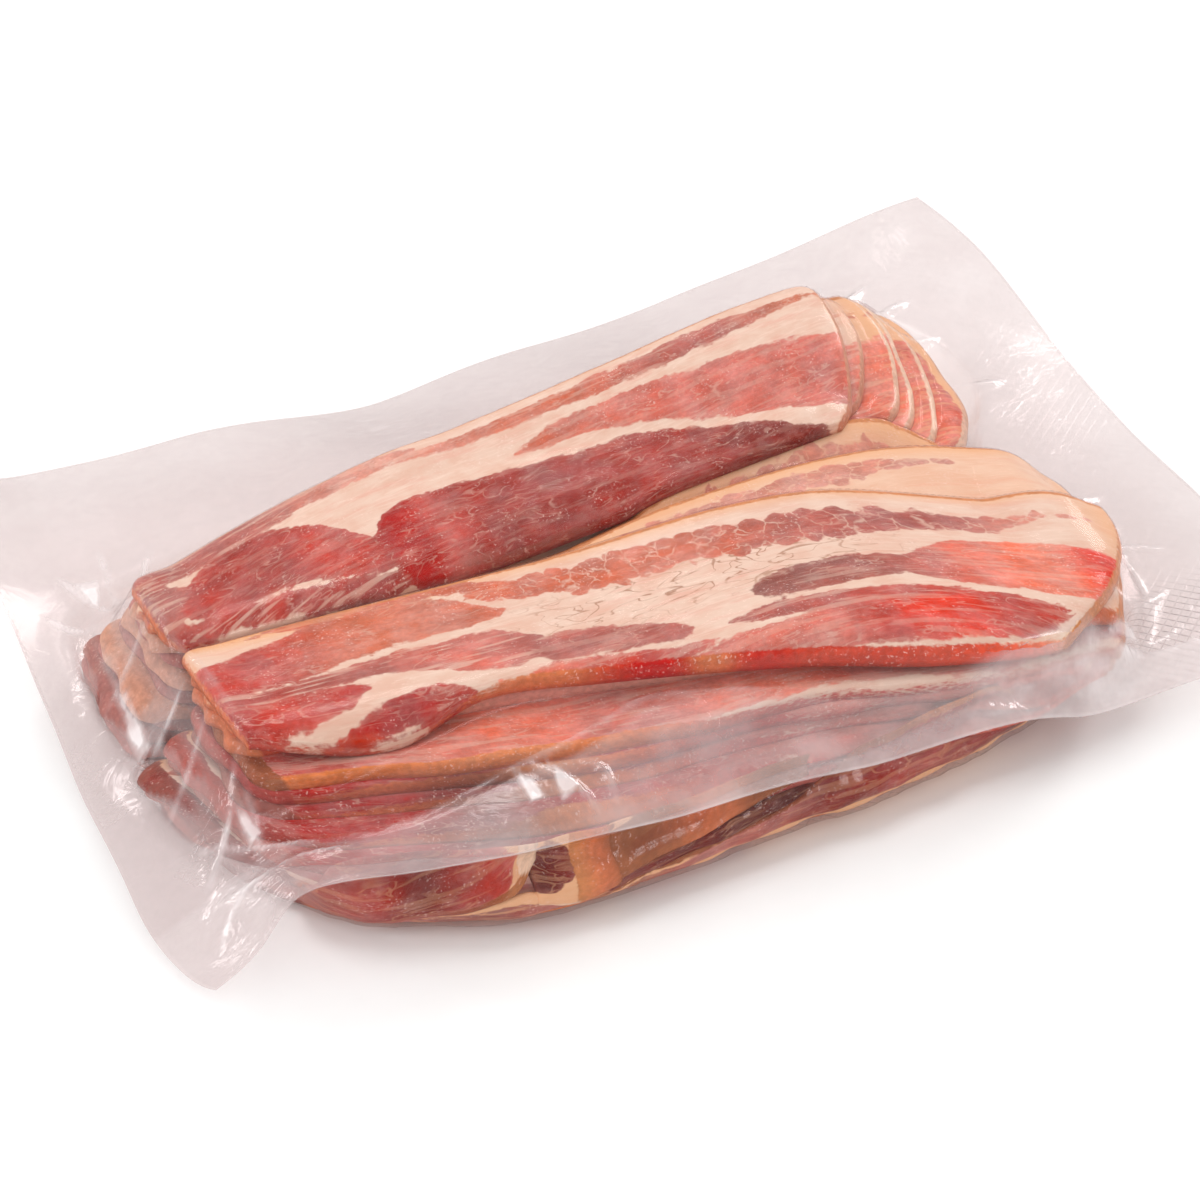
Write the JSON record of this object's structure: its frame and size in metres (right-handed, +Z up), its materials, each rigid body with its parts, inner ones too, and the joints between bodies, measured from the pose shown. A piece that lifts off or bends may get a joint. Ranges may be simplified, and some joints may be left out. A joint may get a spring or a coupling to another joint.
{
  "type": "vacuum pack of sliced bacon",
  "caption": "Clear vacuum-sealed pouch of sliced streaky bacon, fanned out in side-by-side piles and lying flat, with a wavy welded film margin all round.",
  "frame": {"origin": "on the resting surface, under the middle of the pouch's outline", "axes": "+X along the slices, the pouch's long side; +Y across the two piles, towards the pile whose top slice is whole to the back; +Z up"},
  "size_m": [0.3032, 0.2051, 0.0459],
  "materials": {
    "bacon_under_film": "sliced bacon seen through clear, glossy, tightly drawn film",
    "bacon": "moist cured pork belly: pink to deep red lean, cream fat, orange-tan rind edge",
    "film": "clear, glossy, slightly hazy film, one side finely embossed with diamonds"
  },
  "bodies": {
    "root": {"sealed_pouch": "bacon_under_film"}
  },
  "joints": []
}
